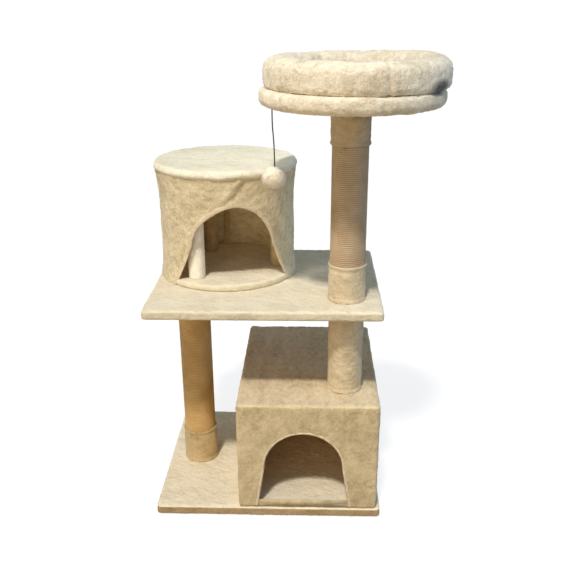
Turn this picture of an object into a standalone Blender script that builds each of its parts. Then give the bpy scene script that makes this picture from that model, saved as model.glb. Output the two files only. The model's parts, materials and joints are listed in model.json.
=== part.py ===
"""Cat tree: base, box condo, two lower posts, platform, drum condo, upper post, perch bed and hanging toy.

Units are metres, +Z is up and the floor is z = 0. Every piece hangs from the empty tree_origin, which
stands on the floor under the middle of the base. The empty is offset so that the world origin is the
bottom centre of the whole tree's bounding box.
"""

from math import cos, pi, radians, sin

import bmesh
import bpy
from mathutils import Vector

# Middle of the base, seen from the bottom centre of the whole tree.
BASE_CENTRE = (-0.0505, 0.0430, 0.0)

# Common stock.
GAP = 0.0003
PLUSH = 0.0026
HEM = 0.025

# Base and platform: chipboard in a plush cover that is turned under and stapled.
BASE_BOARD = (0.494, 0.414, 0.018)
PLATFORM_BOARD = (0.488, 0.406, 0.015)
PLATFORM_CENTRE = (-0.006, 0.0045)
PLATFORM_UNDERSIDE = 0.4725
BOARD_CORNER = 0.009
COVER_EDGE = 0.0025

# Posts: cardboard tube, sisal cord or plush on it, plastic plugs in both ends.
LEFT_POST = (-0.1763, 0.0)
RIGHT_POST = (0.168, -0.1195)
TUBE_RADIUS = 0.0325
TUBE_WALL = 0.0035
SISAL = 0.004
SLEEVE = 0.0042
FLANGE = 0.003
PLUG_DEPTH = 0.028
COLLAR = 0.0022
LEFT_COLLAR_TOP = 0.1086
UPPER_LOWER_COLLAR_TOP = 0.5729
UPPER_UPPER_COLLAR_BOTTOM = 0.8155

# Box condo.
PANEL = 0.012
CONDO_BOARDS = (0.300, 0.414)
CONDO_CENTRE = (0.0884, 0.0)
CONDO_TOP = 0.2825
CONDO_EDGE = 0.006
CONDO_MAT = 0.008
CONDO_SCREW_ROWS = (-0.14, 0.14)
CONDO_DOOR_X = 0.079
CONDO_DOOR = {"half_width": 0.086, "spring_z": 0.1265, "crown_z": 0.2140, "flare": 0.157, "power": 2.0}
DOOR_REBATE = 0.0033

# Drum condo on the platform. Angles are counted from the front, towards +X.
DRUM_CENTRE = (-0.0983, 0.0596)
DRUM_BOARD_RADIUS = 0.1476
DRUM_FLOOR_BOARD = 0.009
DRUM_FLOOR_RADIUS = 0.1525
DRUM_WALL = 0.0024
DRUM_WAIST = 0.1505
DRUM_FOOT = 0.1553
DRUM_ROOF_BOARD_Z = (0.7300, 0.7400)
DRUM_ROOF_RADIUS = 0.1565
DRUM_ROOF_TOP = 0.7555
DRUM_DOOR = {"half_width": 0.088, "spring_z": 0.590, "crown_z": 0.6780, "flare": 0.36, "power": 1.75}
DRUM_DOOR_ANGLE = radians(10)
STRUT_RADIUS = 0.0185
STRUT_CIRCLE = 0.115
STRUT_ANGLES = {"left": radians(-31.5), "right": radians(88.5), "back": radians(208.5)}

# Perch bed.
PERCH_UNDERSIDE = 0.8910
PERCH_BOARD = (0.158, 0.015)
PERCH_ROLL_TOP = 0.9235
PERCH_ROLL_RADIUS = 0.179
PERCH_ROLL_DEPTH = 0.018
PERCH_SEAT_RADIUS = 0.1298
PERCH_HOLE_RADIUS = 0.012
CUSHION_CROWN_Z = 0.9365
CUSHION_CROWN_RADIUS = 0.1045
BOLSTER_SHIFT = 0.008
BOLSTER_MIDDLE = (0.1470, 0.9540)
BOLSTER_HALF = (0.0315, 0.0300)
BOLSTER_SQUARENESS = 2.4

# Hanging toy.
TOY = (0.0155, -0.1195)
CROWN_Z = 0.8870
STAPLE_WIRE = 0.0006
STAPLE_HALF = 0.005
STAPLE_CORNER = 0.001
STAPLE_LEG = 0.008
SISAL_STAPLE_ANGLE = radians(-20)
SISAL_STAPLE_DROP = 0.0025
LOOP_RADIUS = 0.0025
LOOP_WIRE = 0.0008
LOOP_STEPS = 12
CORD_RADIUS = 0.00125
POMPOM_HALF = (0.0245, 0.0245, 0.0215)
POMPOM_X = 0.0180
POMPOM_Z = 0.7493
CORD_ROUTE = [
    (0.0155, 0.88230), (0.0155, 0.87600), (0.0155, 0.86900), (0.0156, 0.86150), (0.0158, 0.85400),
    (0.0162, 0.84600), (0.0168, 0.83850), (0.0174, 0.83100), (0.0180, 0.82300), (0.0184, 0.81550),
    (0.0187, 0.80750), (0.0189, 0.80000), (0.0191, 0.79200), (0.0193, 0.78450), (0.0194, 0.77750),
    (0.0194, 0.77115),
]

# Fasteners.
BOLT_RADIUS = 0.004
BOLT_HEAD = (0.008, 0.0044)
BOLT_SOCKET = (0.0026, 0.0026)
BOLT_LENGTH = 0.038
WASHER = (0.011, 0.0016)
RECESS_RADIUS = 0.0125
SCREW_RADIUS = 0.002
SCREW_HEAD = (0.004, 0.003)
SCREW_GRIP = 0.022

# Facets round a turned piece, and round the sections of the roll and the bolster.
POST_STEPS = 24
DISC_STEPS = 40
STRUT_STEPS = 20
SMALL_STEPS = 12
ROLL_STEPS = 5
SECTION_STEPS = 12
WALL_LEVELS = 6

# Heights that follow from the sizes above.
BASE_TOP = 2 * (PLUSH + GAP) + BASE_BOARD[2]
PLATFORM_BOARD_Z = PLATFORM_UNDERSIDE + PLUSH + GAP
PLATFORM_TOP = PLATFORM_BOARD_Z + PLATFORM_BOARD[2] + GAP + PLUSH
SISAL_RADIUS = TUBE_RADIUS + GAP + SISAL
DRUM_FLOOR_BOARD_Z = PLATFORM_TOP + GAP + PLUSH + GAP
DRUM_FLOOR_TOP = DRUM_FLOOR_BOARD_Z + DRUM_FLOOR_BOARD + GAP + PLUSH
PERCH_BOARD_Z = PERCH_UNDERSIDE + PLUSH + GAP
PERCH_BOARD_TOP = PERCH_BOARD_Z + PERCH_BOARD[1]

MATERIALS = {
    "plush": ((0.72, 0.56, 0.36, 1), 0.95, 0.0),
    "sisal": ((0.42, 0.27, 0.12, 1), 0.90, 0.0),
    "chipboard": ((0.45, 0.32, 0.19, 1), 0.80, 0.0),
    "cardboard": ((0.36, 0.25, 0.15, 1), 0.85, 0.0),
    "plastic": ((0.03, 0.03, 0.03, 1), 0.50, 0.0),
    "steel": ((0.62, 0.62, 0.62, 1), 0.35, 1.0),
    "cord": ((0.02, 0.02, 0.02, 1), 0.80, 0.0),
    "pompom": ((0.80, 0.68, 0.50, 1), 0.95, 0.0),
}


# ---------------------------------------------------------------- scene and helpers

def clear_scene():
    for obj in list(bpy.data.objects):
        bpy.data.objects.remove(obj)


def collection(name):
    made = bpy.data.collections.new(name)
    bpy.context.scene.collection.children.link(made)
    return made


def make_material(name):
    colour, roughness, metallic = MATERIALS[name]
    material = bpy.data.materials.new(name)
    material.use_nodes = True
    shader = material.node_tree.nodes["Principled BSDF"]
    shader.inputs["Base Color"].default_value = colour
    shader.inputs["Roughness"].default_value = roughness
    shader.inputs["Metallic"].default_value = metallic
    return material


clear_scene()
PARTS = collection("cat_tree")
CUTTERS = collection("cutters")
MATERIAL = {name: make_material(name) for name in MATERIALS}


def empty(name, location, parent=None):
    made = bpy.data.objects.new(name, None)
    made.location = location
    made.parent = parent
    made.empty_display_size = 0.03
    PARTS.objects.link(made)
    return made


ROOT = empty("tree_origin", BASE_CENTRE)


def add_object(name, data, material, location=(0, 0, 0), parent=ROOT):
    """Put a mesh or curve in the tree. A piece without a material is a cutter."""
    obj = bpy.data.objects.new(name, data)
    obj.location = location
    obj.parent = parent
    if material is None:
        CUTTERS.objects.link(obj)
        obj.hide_render = True
        obj.display_type = "WIRE"
    else:
        PARTS.objects.link(obj)
        data.materials.append(MATERIAL[material])
    return obj


def smooth(mesh):
    mesh.shade_smooth()
    mesh.set_sharp_from_angle(angle=radians(35))


def slab(name, material, size, centre, bottom, corner=0.0, edge=0.0):
    """A box standing on z = bottom, with its upright corners and then its top and bottom edges rounded."""
    bm = bmesh.new()
    bmesh.ops.create_cube(bm, size=1)
    bmesh.ops.scale(bm, vec=Vector(size), verts=bm.verts)
    if corner:
        upright = [e for e in bm.edges if abs(e.verts[0].co.z - e.verts[1].co.z) > size[2] / 2]
        bmesh.ops.bevel(bm, geom=upright, offset=corner, segments=2, profile=0.5, affect="EDGES")
    if edge:
        level = [e for e in bm.edges if abs(e.verts[0].co.z - e.verts[1].co.z) < size[2] / 2]
        bmesh.ops.bevel(bm, geom=level, offset=edge, segments=2, profile=0.5, affect="EDGES")
    mesh = bpy.data.meshes.new(name)
    bm.to_mesh(mesh)
    bm.free()
    smooth(mesh)
    return add_object(name, mesh, material, (centre[0], centre[1], bottom + size[2] / 2))


def turned(name, material, profile, centre, steps, ring=False, parent=ROOT, height=0.0):
    """A profile of (radius, z) points turned about an upright axis, its outer side running downwards.

    A ring's profile is a closed loop. Any other profile starts and ends on the axis.
    """
    mesh = bpy.data.meshes.new(name)
    count = len(profile)
    edges = [(i, i + 1) for i in range(count - 1)]
    if ring:
        edges.append((count - 1, 0))
    mesh.from_pydata([(r, 0, z - height) for r, z in profile], edges, [])
    obj = add_object(name, mesh, material, (centre[0], centre[1], height), parent)
    screw = obj.modifiers.new("turn", "SCREW")
    screw.steps = steps
    screw.render_steps = steps
    screw.use_merge_vertices = True
    screw.merge_threshold = 0.00001
    screw.use_smooth_shade = True
    return obj


def cylinder_cutter(name, radius, centre, low, high, steps=SMALL_STEPS):
    profile = [(0, high), (radius, high), (radius, low), (0, low)]
    return turned(name, None, profile, centre, steps)


def prism_cutter(name, outline, middle, depth, turn=0.0):
    """A flat outline of (across, z) points, extruded along the way it faces. turn = 0 faces the front."""
    curve = bpy.data.curves.new(name, "CURVE")
    curve.dimensions = "2D"
    curve.fill_mode = "BOTH"
    curve.extrude = depth / 2
    spline = curve.splines.new("POLY")
    spline.points.add(len(outline) - 1)
    for point, (across, z) in zip(spline.points, outline):
        point.co = (across, z, 0, 1)
    spline.use_cyclic_u = True
    drawn = bpy.data.objects.new(name + "_outline", curve)
    PARTS.objects.link(drawn)
    mesh = bpy.data.meshes.new_from_object(drawn.evaluated_get(bpy.context.evaluated_depsgraph_get()))
    bpy.data.objects.remove(drawn)
    bm = bmesh.new()
    bm.from_mesh(mesh)
    bmesh.ops.remove_doubles(bm, verts=bm.verts, dist=0.00001)
    bmesh.ops.recalc_face_normals(bm, faces=bm.faces)
    bm.to_mesh(mesh)
    bm.free()
    obj = add_object(name, mesh, None, middle)
    obj.rotation_euler = (radians(90), 0, turn)
    return obj


def cut(target, *cutters):
    for cutter in cutters:
        boolean = target.modifiers.new(cutter.name, "BOOLEAN")
        boolean.operation = "DIFFERENCE"
        boolean.object = cutter


def around(centre, radius, angle):
    """The point at a radius and an angle from the front, towards +X."""
    return (centre[0] + radius * sin(angle), centre[1] - radius * cos(angle))


def arch(door, foot_z, grow=0.0, steps=9):
    """Outline of a mouse-hole door: legs that spread towards the floor under a rounded crown."""
    half = door["half_width"] + grow
    rise = door["crown_z"] + grow - door["spring_z"]
    foot = half + door["flare"] * (door["spring_z"] - foot_z)
    crown = []
    for i in range(steps + 1):
        turn = pi / 2 * i / steps
        across = half * cos(turn) ** (2 / door["power"])
        crown.append((across, door["spring_z"] + rise * sin(turn) ** (2 / door["power"])))
    right = [(foot, foot_z)] + crown
    left = [(-across, z) for across, z in reversed(right[:-1])]
    return right + left


# ---------------------------------------------------------------- fasteners

def bolt(name, centre, seat, length, upward):
    """Button-head bolt with its washer seat at z = seat, its head on the side away from its shank."""
    way = 1 if upward else -1
    head_radius, head_height = BOLT_HEAD
    head_end = seat - way * head_height
    rounding = head_height / 3
    outline = [
        (0, head_end), (head_radius * 0.75, head_end), (head_radius, head_end + way * rounding),
        (head_radius, seat), (BOLT_RADIUS, seat), (BOLT_RADIUS, seat + way * length),
        (0, seat + way * length),
    ]
    if upward:
        outline.reverse()
    obj = turned(name, "steel", outline, centre, SMALL_STEPS)
    socket_radius, socket_depth = BOLT_SOCKET
    ends = sorted((head_end - way * socket_depth, head_end + way * socket_depth))
    cut(obj, cylinder_cutter(name + "_socket", socket_radius, centre, ends[0], ends[1], 6))
    return obj


def washer(name, centre, low):
    radius, thickness = WASHER
    hole = BOLT_RADIUS + GAP
    profile = [(hole, low + thickness), (radius, low + thickness), (radius, low), (hole, low)]
    return turned(name, "steel", profile, centre, SMALL_STEPS, ring=True)


def recessed_bolt(prefix, centre, face, upward, boards):
    """Bolt and washer sunk in the face of the first board; their clearance is cut in every board."""
    way = 1 if upward else -1
    depth = BOLT_HEAD[1] + WASHER[1] + 3 * GAP
    floor = face + way * depth
    washer_low = floor - GAP - WASHER[1] if upward else floor + GAP
    washer(prefix + "_washer", centre, washer_low)
    seat = floor - way * (WASHER[1] + 2 * GAP)
    bolt(prefix + "_bolt", centre, seat, BOLT_LENGTH, upward)
    ends = sorted((face - way * 2 * PLUSH, floor))
    recess = cylinder_cutter(prefix + "_recess", RECESS_RADIUS, centre, ends[0], ends[1])
    ends = sorted((floor - way * PLUSH, floor + way * BOLT_LENGTH))
    shank = cylinder_cutter(prefix + "_hole", BOLT_RADIUS + GAP, centre, ends[0], ends[1])
    cut(boards[0], recess, shank)
    for board in boards[1:]:
        cut(board, shank)


def screw_up(name, centre, face, tip, boards):
    """Countersunk screw driven up from the underside of the first board."""
    head_radius, head_height = SCREW_HEAD
    low = face + GAP
    outline = [(0, tip), (SCREW_RADIUS, tip - SCREW_RADIUS), (SCREW_RADIUS, low + head_height)]
    outline += [(head_radius, low), (0, low)]
    turned(name, "steel", outline, centre, SMALL_STEPS)
    hole = SCREW_RADIUS + GAP
    wide = head_radius + 2 * GAP
    clearance = [(0, tip + GAP), (hole, tip + GAP), (hole, low + head_height + GAP)]
    clearance += [(wide, low), (wide, face - PLUSH), (0, face - PLUSH)]
    cutter = turned(name + "_hole", None, clearance, centre, SMALL_STEPS)
    for board in boards:
        cut(board, cutter)


# ---------------------------------------------------------------- base and platform

def covered_board(name, board, centre, underside):
    """A board and the plush that wraps its top and edges and is turned under by the hem."""
    width, depth, thick = board
    low = underside + PLUSH + GAP
    wood = slab(name + "_board", "chipboard", board, centre, low, BOARD_CORNER)
    inner = (width + 2 * GAP, depth + 2 * GAP, thick + 2 * GAP)
    outer = tuple(side + 2 * PLUSH for side in inner)
    cover = slab(
        name + "_cover", "plush", outer, centre, underside, BOARD_CORNER + GAP + PLUSH, COVER_EDGE)
    hollow = slab(name + "_hollow", None, inner, centre, low - GAP, BOARD_CORNER + GAP)
    window = (width - 2 * HEM, depth - 2 * HEM, 3 * PLUSH)
    opening = slab(name + "_window", None, window, centre, underside - PLUSH, BOARD_CORNER)
    cut(cover, hollow, opening)
    return wood, cover


# ---------------------------------------------------------------- posts

def plug(name, centre, end, upward):
    """Plastic end plug: a flange over the tube's end and a spigot inside, bored for the bolt.

    end is the flange's outer face, and upward says that the spigot points up.
    """
    way = 1 if upward else -1
    bore = BOLT_RADIUS + GAP
    spigot = TUBE_RADIUS - TUBE_WALL - GAP
    outline = [
        (bore, end), (TUBE_RADIUS, end), (TUBE_RADIUS, end + way * FLANGE), (spigot, end + way * FLANGE),
        (spigot, end + way * PLUG_DEPTH), (bore, end + way * PLUG_DEPTH),
    ]
    if upward:
        outline.reverse()
    return turned(name, "plastic", outline, centre, POST_STEPS, ring=True)


def pipe(name, material, centre, inner, outer, low, high):
    profile = [(inner, high), (outer, high), (outer, low), (inner, low)]
    return turned(name, material, profile, centre, POST_STEPS, ring=True)


def post(prefix, centre, low, high, wrap, wrap_material, wrap_thick):
    """Tube with a plug in each end and a wrap that covers tube and flanges."""
    plug(prefix + "_lower_plug", centre, low, True)
    plug(prefix + "_upper_plug", centre, high, False)
    ends = (low + FLANGE + GAP, high - FLANGE - GAP)
    pipe(prefix + "_tube", "cardboard", centre, TUBE_RADIUS - TUBE_WALL, TUBE_RADIUS, *ends)
    inner = TUBE_RADIUS + GAP
    return pipe(f"{prefix}_{wrap}", wrap_material, centre, inner, inner + wrap_thick, low, high)


def collar(name, centre, low, high):
    inner = SISAL_RADIUS + GAP
    pipe(name, "plush", centre, inner, inner + COLLAR - GAP, low, high)


def left_post(base, platform):
    low = BASE_TOP + GAP
    high = PLATFORM_BOARD_Z - GAP
    post("left_post", LEFT_POST, low, high, "sisal", "sisal", SISAL)
    collar("left_post_collar", LEFT_POST, low, LEFT_COLLAR_TOP)
    recessed_bolt("left_post_base", LEFT_POST, PLUSH + GAP, True, base)
    board_top = PLATFORM_BOARD_Z + PLATFORM_BOARD[2]
    recessed_bolt("left_post_platform", LEFT_POST, board_top, False, platform[:1])
    hole = cylinder_cutter(
        "left_post_cover_hole", RECESS_RADIUS, LEFT_POST, board_top - GAP, board_top + 3 * PLUSH)
    cut(platform[1], hole)


def right_post(top_panel, condo_cover, platform):
    low = CONDO_TOP + GAP
    high = PLATFORM_BOARD_Z - GAP
    post("right_post", RIGHT_POST, low, high, "sleeve", "plush", SLEEVE)
    ceiling = CONDO_TOP - PLUSH - GAP - PANEL
    washer("right_post_washer", RIGHT_POST, ceiling - GAP - WASHER[1])
    seat = ceiling - 2 * GAP - WASHER[1]
    bolt("right_post_bolt", RIGHT_POST, seat, BOLT_LENGTH, True)
    hole = cylinder_cutter(
        "right_post_hole", BOLT_RADIUS + GAP, RIGHT_POST, ceiling - PLUSH, CONDO_TOP + PLUSH)
    cut(top_panel, hole)
    cut(condo_cover, hole)
    reach = PLUG_DEPTH - FLANGE
    stud = (high - reach, PLATFORM_TOP + GAP + reach)
    profile = [(0, stud[1]), (BOLT_RADIUS, stud[1]), (BOLT_RADIUS, stud[0]), (0, stud[0])]
    turned("upper_post_stud", "steel", profile, RIGHT_POST, SMALL_STEPS)
    hole = cylinder_cutter(
        "stud_hole", BOLT_RADIUS + GAP, RIGHT_POST, PLATFORM_UNDERSIDE - PLUSH, PLATFORM_TOP + PLUSH)
    for board in platform:
        cut(board, hole)


def upper_post():
    low = PLATFORM_TOP + GAP
    high = PERCH_UNDERSIDE - GAP
    post("upper_post", RIGHT_POST, low, high, "sisal", "sisal", SISAL)
    collar("upper_post_lower_collar", RIGHT_POST, low, UPPER_LOWER_COLLAR_TOP)
    collar("upper_post_upper_collar", RIGHT_POST, UPPER_UPPER_COLLAR_BOTTOM, high)
    sisal_staple()


def sisal_staple():
    """Staple that pins the end of the sisal cord under the upper collar, at the left of the front."""
    at = around(RIGHT_POST, SISAL_RADIUS + GAP + STAPLE_WIRE, SISAL_STAPLE_ANGLE)
    z = UPPER_UPPER_COLLAR_BOTTOM - SISAL_STAPLE_DROP
    bm = bmesh.new()
    bmesh.ops.create_cube(bm, size=1)
    bmesh.ops.scale(bm, vec=(STAPLE_HALF, 2 * STAPLE_WIRE, 2 * STAPLE_WIRE), verts=bm.verts)
    mesh = bpy.data.meshes.new("sisal_staple")
    bm.to_mesh(mesh)
    bm.free()
    obj = add_object("sisal_staple", mesh, "steel", (at[0], at[1], z))
    obj.rotation_euler = (0, 0, SISAL_STAPLE_ANGLE)


# ---------------------------------------------------------------- box condo

def condo_panels():
    """Five chipboard panels: front and back across, sides between them, top over all."""
    width, depth = CONDO_BOARDS
    x, y = CONDO_CENTRE
    low = BASE_TOP + GAP
    top = CONDO_TOP - PLUSH - GAP - PANEL
    tall = top - GAP - low
    front_y = y - depth / 2 + PANEL / 2
    back_y = y + depth / 2 - PANEL / 2
    front = slab("condo_front_panel", "chipboard", (width, PANEL, tall), (x, front_y), low)
    slab("condo_back_panel", "chipboard", (width, PANEL, tall), (x, back_y), low)
    between = depth - 2 * PANEL - 2 * GAP
    sides = []
    for side, sign in (("left", -1), ("right", 1)):
        at = (x + sign * (width / 2 - PANEL / 2), y)
        sides.append(slab(f"condo_{side}_panel", "chipboard", (PANEL, between, tall), at, low))
    roof = slab("condo_top_panel", "chipboard", (width, depth, PANEL), (x, y), top)
    return front, sides, roof


def condo_shell():
    """The plush skin over the five panels, open underneath, with the door cut through the front."""
    width, depth = CONDO_BOARDS
    low = BASE_TOP + GAP
    outer = (width + 2 * (PLUSH + GAP), depth + 2 * (PLUSH + GAP), CONDO_TOP - low)
    inner = (width + 2 * GAP, depth + 2 * GAP, CONDO_TOP - PLUSH - low + PANEL)
    cover = slab("condo_cover", "plush", outer, CONDO_CENTRE, low, CONDO_EDGE)
    bevel_top(cover, outer)
    cut(cover, slab("condo_hollow", None, inner, CONDO_CENTRE, low - PANEL))
    return cover


def bevel_top(obj, size):
    """Round the top edges only, so that the skin's lower edge stays square on the base."""
    bm = bmesh.new()
    bm.from_mesh(obj.data)
    top = [e for e in bm.edges if min(v.co.z for v in e.verts) > size[2] / 2 - GAP]
    bmesh.ops.bevel(bm, geom=top, offset=CONDO_EDGE, segments=2, profile=0.5, affect="EDGES")
    bm.to_mesh(obj.data)
    bm.free()


def condo(base):
    front, sides, roof = condo_panels()
    cover = condo_shell()
    middle = (CONDO_DOOR_X, CONDO_CENTRE[1] - CONDO_BOARDS[1] / 2, 0)
    below = BASE_TOP - PANEL
    cut(cover, prism_cutter("condo_door", arch(CONDO_DOOR, below), middle, 3 * PANEL))
    cut(front, prism_cutter("condo_rebate", arch(CONDO_DOOR, below, DOOR_REBATE), middle, 3 * PANEL))
    inside = (CONDO_BOARDS[0] - 2 * PANEL - 2 * GAP, CONDO_BOARDS[1] - 2 * PANEL - 2 * GAP)
    low = BASE_TOP + GAP
    slab("condo_floor_mat", "plush", inside + (CONDO_MAT,), CONDO_CENTRE, low, 0, CONDO_MAT / 4)
    for i, side in enumerate(sides):
        for j, y in enumerate(CONDO_SCREW_ROWS):
            at = (side.location.x, y)
            tip = low + SCREW_GRIP
            screw_up(f"condo_screw_{2 * i + j + 1}", at, PLUSH + GAP, tip, (*base, side))
    return roof, cover


# ---------------------------------------------------------------- drum condo

def drum_floor():
    """Round board in a plush cover, hemmed underneath like the platform."""
    board_radius = DRUM_FLOOR_RADIUS - PLUSH - GAP
    top = DRUM_FLOOR_BOARD_Z + DRUM_FLOOR_BOARD
    profile = [(0, top), (board_radius, top), (board_radius, DRUM_FLOOR_BOARD_Z), (0, DRUM_FLOOR_BOARD_Z)]
    board = turned("drum_floor_board", "chipboard", profile, DRUM_CENTRE, DISC_STEPS)
    low = PLATFORM_TOP + GAP
    hem = DRUM_FLOOR_RADIUS - HEM
    hollow = board_radius + GAP
    outer = DRUM_FLOOR_RADIUS
    cover = [
        (0, DRUM_FLOOR_TOP), (outer - PLUSH, DRUM_FLOOR_TOP), (outer, DRUM_FLOOR_TOP - PLUSH),
        (outer, low + PLUSH / 2), (outer - PLUSH / 2, low), (hem, low), (hem, low + PLUSH),
        (hollow, low + PLUSH), (hollow, top + GAP), (0, top + GAP),
    ]
    return board, turned("drum_floor_cover", "plush", cover, DRUM_CENTRE, DISC_STEPS)


def drum_roof():
    low, high = DRUM_ROOF_BOARD_Z
    profile = [(0, high), (DRUM_BOARD_RADIUS, high), (DRUM_BOARD_RADIUS, low), (0, low)]
    turned("drum_roof_board", "chipboard", profile, DRUM_CENTRE, DISC_STEPS)
    under = high + GAP
    thick = DRUM_ROOF_TOP - under
    rim = [(0.35, 1.0), (0.1, 0.88), (0.0, 0.55), (0.1, 0.15), (0.3, 0.0)]
    pad = [(0, DRUM_ROOF_TOP)]
    pad += [(DRUM_ROOF_RADIUS - inset * thick, under + rise * thick) for inset, rise in rim]
    pad.append((0, under))
    turned("drum_roof_pad", "plush", pad, DRUM_CENTRE, DISC_STEPS)


def drum_wall():
    """Fabric wall, held out by the floor's edge and drawn in above it, with the door cut through it."""
    low = PLATFORM_TOP + GAP
    cling = DRUM_FLOOR_TOP + PLUSH
    top = DRUM_ROOF_BOARD_Z[1] - GAP
    outer = [(DRUM_FOOT, low)]
    for i in range(WALL_LEVELS):
        share = i / (WALL_LEVELS - 1)
        swell = (DRUM_FOOT - DRUM_WAIST) * (1 - share) ** 3
        outer.append((DRUM_WAIST + swell, cling + share * (top - cling)))
    inner = [(radius - DRUM_WALL, z) for radius, z in outer]
    wall = turned("drum_wall", "plush", outer[::-1] + inner, DRUM_CENTRE, DISC_STEPS, ring=True)
    facing = around(DRUM_CENTRE, DRUM_FOOT, DRUM_DOOR_ANGLE)
    outline = arch(DRUM_DOOR, low - PLUSH)
    door = prism_cutter("drum_door", outline, (*facing, 0), DRUM_FOOT * 1.2, DRUM_DOOR_ANGLE)
    cut(wall, door)


def drum_struts(platform, floor):
    """Three plush-wrapped dowels hold the roof up, each screwed through the platform from below."""
    low = DRUM_FLOOR_TOP + GAP
    high = DRUM_ROOF_BOARD_Z[0] - GAP
    for name, angle in STRUT_ANGLES.items():
        at = around(DRUM_CENTRE, STRUT_CIRCLE, angle)
        profile = [(0, high), (STRUT_RADIUS, high), (STRUT_RADIUS, low), (0, low)]
        strut = turned(f"drum_{name}_strut", "plush", profile, at, STRUT_STEPS)
        tip = low + SCREW_GRIP
        screw_up(f"drum_{name}_screw", at, PLATFORM_BOARD_Z, tip, (*platform, *floor, strut))


def drum(platform):
    floor = drum_floor()
    drum_roof()
    drum_wall()
    drum_struts(platform, floor)


# ---------------------------------------------------------------- perch bed

def perch_cover():
    """Plush underside and padded roll that hold the board like a tray, open at the seat."""
    hole = PERCH_HOLE_RADIUS
    board_radius = PERCH_BOARD[0]
    roll_middle = (PERCH_UNDERSIDE + PERCH_ROLL_TOP) / 2
    roll_half = (PERCH_ROLL_TOP - PERCH_UNDERSIDE) / 2
    roll_radius = PERCH_ROLL_RADIUS - PERCH_ROLL_DEPTH
    roll = []
    for i in range(ROLL_STEPS + 1):
        turn = pi / 2 - pi * i / ROLL_STEPS
        roll.append((roll_radius + PERCH_ROLL_DEPTH * cos(turn), roll_middle + roll_half * sin(turn)))
    inside = [
        (hole, PERCH_UNDERSIDE), (hole, PERCH_UNDERSIDE + PLUSH),
        (board_radius + GAP, PERCH_UNDERSIDE + PLUSH), (board_radius + GAP, PERCH_BOARD_TOP + GAP),
        (PERCH_SEAT_RADIUS, PERCH_BOARD_TOP + GAP), (PERCH_SEAT_RADIUS, PERCH_ROLL_TOP),
    ]
    return turned("perch_cover", "plush", roll + inside, RIGHT_POST, DISC_STEPS, ring=True)


def squared(value):
    """A cosine or sine turned into its share of a squarish oval's half size."""
    share = abs(value) ** (2 / BOLSTER_SQUARENESS)
    return share if value >= 0 else -share


def perch_bolster():
    """Stuffed ring on the roll: a squarish oval section, a little to the right of the post."""
    section = []
    for i in range(SECTION_STEPS):
        turn = pi / 2 - 2 * pi * i / SECTION_STEPS
        across = BOLSTER_HALF[0] * squared(cos(turn))
        up = BOLSTER_HALF[1] * squared(sin(turn))
        section.append((BOLSTER_MIDDLE[0] + across, BOLSTER_MIDDLE[1] + up))
    centre = (RIGHT_POST[0] + BOLSTER_SHIFT, RIGHT_POST[1])
    turned("perch_bolster", "plush", section, centre, DISC_STEPS, ring=True)


def perch_cushion():
    """Seat pad: its rim is tucked under the bolster and its crown fills the bowl's floor."""
    rim = PERCH_SEAT_RADIUS - GAP
    rise = CUSHION_CROWN_Z - PERCH_ROLL_TOP
    profile = [(0, CUSHION_CROWN_Z)]
    for share in (0.5, 0.75, 0.92, 1.0):
        profile.append((CUSHION_CROWN_RADIUS * share, CUSHION_CROWN_Z - rise * share ** 4))
    profile.append((rim, PERCH_ROLL_TOP - 2 * GAP))
    profile += [(rim, PERCH_BOARD_TOP + GAP), (0, PERCH_BOARD_TOP + GAP)]
    turned("perch_cushion", "plush", profile, RIGHT_POST, DISC_STEPS)


def perch():
    radius, _ = PERCH_BOARD
    profile = [(0, PERCH_BOARD_TOP), (radius, PERCH_BOARD_TOP), (radius, PERCH_BOARD_Z), (0, PERCH_BOARD_Z)]
    board = turned("perch_board", "chipboard", profile, RIGHT_POST, DISC_STEPS)
    recessed_bolt("perch", RIGHT_POST, PERCH_BOARD_TOP, False, (board,))
    cover = perch_cover()
    perch_bolster()
    perch_cushion()
    return board, cover


# ---------------------------------------------------------------- hanging toy

def wire(name, material, points, radius, cyclic=False, parent=ROOT, location=(0, 0, 0)):
    curve = bpy.data.curves.new(name, "CURVE")
    curve.dimensions = "3D"
    curve.bevel_depth = radius
    curve.bevel_resolution = 2
    curve.use_fill_caps = True
    spline = curve.splines.new("POLY")
    spline.points.add(len(points) - 1)
    for point, co in zip(spline.points, points):
        point.co = (*co, 1)
    spline.use_cyclic_u = cyclic
    return add_object(name, curve, material, location, parent)


def toy_staple(board, cover):
    """Staple in the perch board; its crown hangs clear of the plush so that the loop can turn on it."""
    leg_top = PERCH_BOARD_Z + STAPLE_LEG
    x, y = TOY
    points = []
    for sign in (-1, 1):
        side = [(x + sign * STAPLE_HALF, y, leg_top), (x + sign * STAPLE_HALF, y, CROWN_Z + STAPLE_CORNER)]
        side.append((x + sign * (STAPLE_HALF - STAPLE_CORNER), y, CROWN_Z))
        points += side if sign < 0 else side[::-1]
        hole = cylinder_cutter(
            f"staple_hole_{sign + 2}", STAPLE_WIRE + 2 * GAP, (x + sign * STAPLE_HALF, y),
            PERCH_UNDERSIDE - PLUSH, leg_top + 2 * GAP, 8)
        cut(board, hole)
        cut(cover, hole)
    wire("toy_staple", "steel", points, STAPLE_WIRE)


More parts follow.
